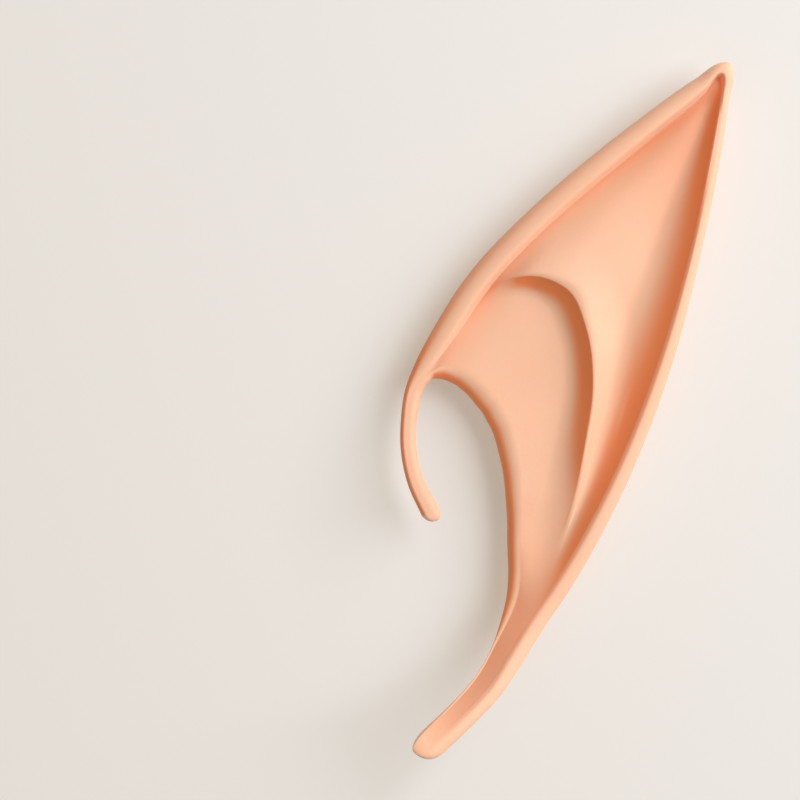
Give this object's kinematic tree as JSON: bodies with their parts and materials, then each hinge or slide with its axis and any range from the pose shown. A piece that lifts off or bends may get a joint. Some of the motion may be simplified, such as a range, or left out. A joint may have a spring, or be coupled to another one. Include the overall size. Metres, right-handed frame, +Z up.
{
  "type": "elf ear tip",
  "caption": "Hollow pointed ear tip of soft moulded latex, with a rolled rim, a curved ridge, an open pocket for the wearer's ear, a slim hook and a long tail.",
  "frame": {"origin": "middle of the bounding box in plan, at the surface that the rounded back rests on", "axes": "+Y towards the point, +X towards the back rim, +Z up out of the face"},
  "size_m": [0.0586, 0.1208, 0.0206],
  "materials": {
    "latex": "matte"
  },
  "bodies": {
    "root": {"ear_tip": "latex"}
  },
  "joints": []
}
